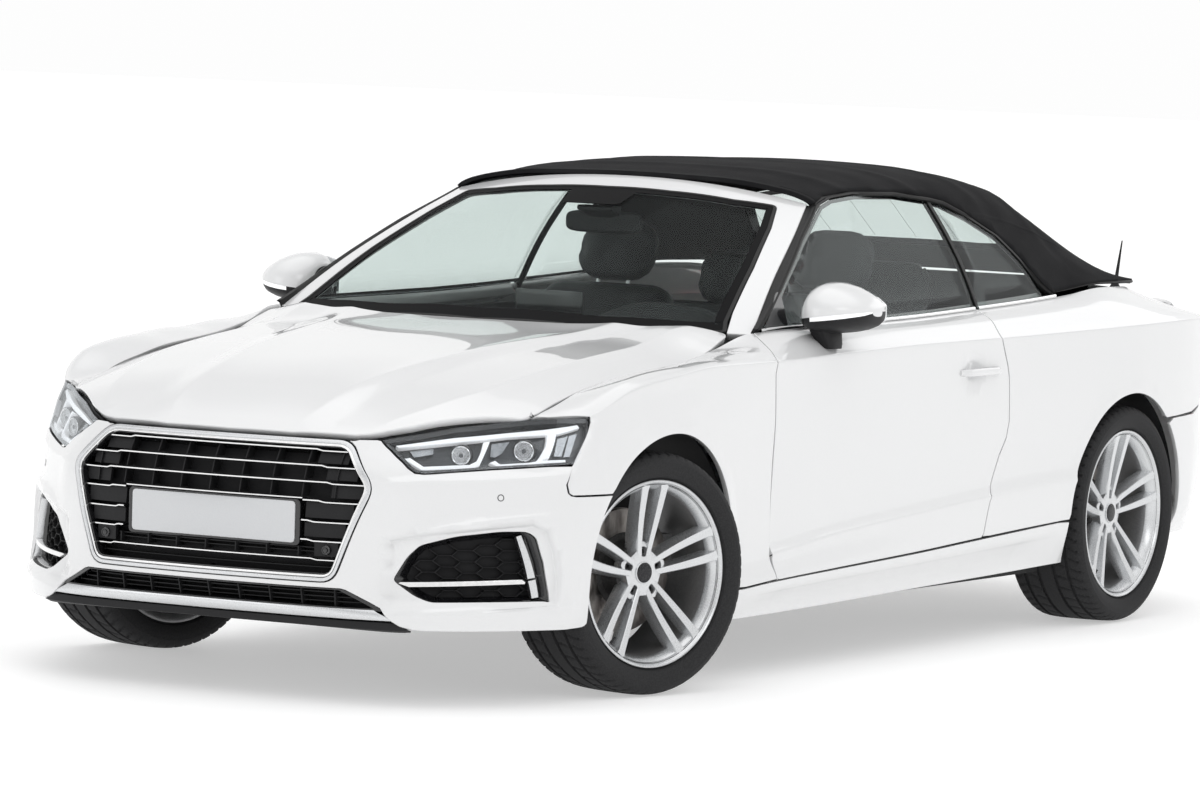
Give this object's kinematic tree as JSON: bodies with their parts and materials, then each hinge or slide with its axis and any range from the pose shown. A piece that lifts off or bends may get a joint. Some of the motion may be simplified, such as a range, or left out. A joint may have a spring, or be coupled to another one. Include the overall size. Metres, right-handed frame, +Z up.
{
  "type": "convertible car",
  "caption": "Two-door, four-seat convertible car, soft top up; wheels roll and steer, doors, bonnet and boot lid open on hinges.",
  "frame": {"origin": "centre of the bounding box at ground level, under the middle of the car", "axes": "+Z up, -Y to the front of the car, +X to the car's left side; +Y is the longest extent and +Z the shortest"},
  "size_m": [2.0288, 4.6722, 1.3823],
  "materials": {
    "paint_white": "gloss",
    "black_gloss": "gloss",
    "black_trim": "matt",
    "lamp_lens": "clear gloss over a dark housing",
    "lamp_red": "gloss",
    "plate_blank": "satin",
    "tint_glass": "clear",
    "soft_top_cloth": "woven",
    "seat_leather": "grained",
    "rim_silver": "satin",
    "tyre_rubber": "matt",
    "chassis_steel": "matt",
    "cast_alloy": "cast",
    "iron_knuckle": "rough",
    "exhaust_steel": "satin"
  },
  "bodies": {
    "chassis": {"antenna": "black_trim", "centre_console": "black_trim", "cowl_panel": "black_trim", "dashboard": "black_trim", "engine_block": "cast_alloy", "exhaust": "exhaust_steel", "floor_pan": "chassis_steel", "front_bumper": "paint_white", "front_fender_left": "paint_white", "front_fender_right": "paint_white", "front_rails": "chassis_steel", "front_seats": "seat_leather", "front_subframe": "chassis_steel", "grille": "black_gloss", "headlights": "lamp_lens", "interior_mirror": "black_trim", "lower_intakes": "black_trim", "number_plates": "plate_blank", "quarter_panel_left": "paint_white", "quarter_panel_right": "paint_white", "quarter_windows": "tint_glass", "rear_bumper": "paint_white", "rear_deck": "paint_white", "rear_seats": "seat_leather", "rear_shelf": "black_trim", "rear_subframe": "chassis_steel", "rear_window": "tint_glass", "side_skirts": "paint_white", "soft_top": "soft_top_cloth", "tail_corners": "paint_white", "tail_lights": "lamp_red", "wheel_arch_liners": "black_trim", "windscreen": "tint_glass", "windscreen_frame": "paint_white"},
    "door_left": {"door_left": "paint_white", "door_glass_left": "tint_glass", "door_mirror_left": "paint_white", "door_handle_left": "paint_white"},
    "door_right": {"door_right": "paint_white", "door_glass_right": "tint_glass", "door_mirror_right": "paint_white", "door_handle_right": "paint_white"},
    "bonnet": {"bonnet": "paint_white"},
    "boot_lid": {"boot_lid": "paint_white"},
    "steering_wheel": {"steering_wheel": "black_trim"},
    "knuckle_left": {"front_knuckle_left": "iron_knuckle"},
    "knuckle_right": {"front_knuckle_right": "iron_knuckle"},
    "wheel_front_left": {"wheel_front_left": "rim_silver", "tyre_front_left": "tyre_rubber"},
    "wheel_front_right": {"wheel_front_right": "rim_silver", "tyre_front_right": "tyre_rubber"},
    "wheel_rear_left": {"wheel_rear_left": "rim_silver", "tyre_rear_left": "tyre_rubber"},
    "wheel_rear_right": {"wheel_rear_right": "rim_silver", "tyre_rear_right": "tyre_rubber"}
  },
  "joints": [
    {"name": "steer_left", "type": "hinge", "parent": "chassis", "child": "knuckle_left", "pos_m": [0.716, -1.45, 0.33], "axis": [0, 0, 1], "range_deg": [-20.3, 51.7]},
    {"name": "steer_right", "type": "hinge", "parent": "chassis", "child": "knuckle_right", "pos_m": [-0.716, -1.45, 0.33], "axis": [0, 0, 1], "range_deg": [-20.3, 51.7]},
    {"name": "steering_wheel_turn", "type": "hinge", "parent": "chassis", "child": "steering_wheel", "pos_m": [0.37, -0.352, 0.812], "axis": [0, 0.9135, 0.4067], "range_deg": [-296.4, 754.8]},
    {"name": "roll_front_left", "type": "hinge", "parent": "knuckle_left", "child": "wheel_front_left", "pos_m": [0.79061, -1.47097, 0.33], "axis": [0.9627, -0.2706, 0], "continuous": true},
    {"name": "roll_front_right", "type": "hinge", "parent": "knuckle_right", "child": "wheel_front_right", "pos_m": [-0.79061, -1.42903, 0.33], "axis": [0.9627, -0.2706, 0], "continuous": true},
    {"name": "roll_rear_left", "type": "hinge", "parent": "chassis", "child": "wheel_rear_left", "pos_m": [0.784, 1.315, 0.33], "axis": [1, 0, 0], "continuous": true},
    {"name": "roll_rear_right", "type": "hinge", "parent": "chassis", "child": "wheel_rear_right", "pos_m": [-0.784, 1.315, 0.33], "axis": [1, 0, 0], "continuous": true},
    {"name": "door_left_hinge", "type": "hinge", "parent": "chassis", "child": "door_left", "pos_m": [0.905, -0.889, 0.6], "axis": [0, 0, -1], "range_deg": [0, 62]},
    {"name": "door_right_hinge", "type": "hinge", "parent": "chassis", "child": "door_right", "pos_m": [-0.905, -0.889, 0.6], "axis": [0, 0, 1], "range_deg": [0, 62]},
    {"name": "bonnet_hinge", "type": "hinge", "parent": "chassis", "child": "bonnet", "pos_m": [0, -0.868, 0.945], "axis": [-1, 0, 0], "range_deg": [0, 55]},
    {"name": "boot_lid_hinge", "type": "hinge", "parent": "chassis", "child": "boot_lid", "pos_m": [0, 1.752, 1.016], "axis": [1, 0, 0], "range_deg": [0, 72]}
  ],
  "couplings": [
    {"joint": "steer_right", "follows": "steer_left", "ratio": 1},
    {"joint": "steering_wheel_turn", "follows": "steer_left", "ratio": 14.6}
  ]
}
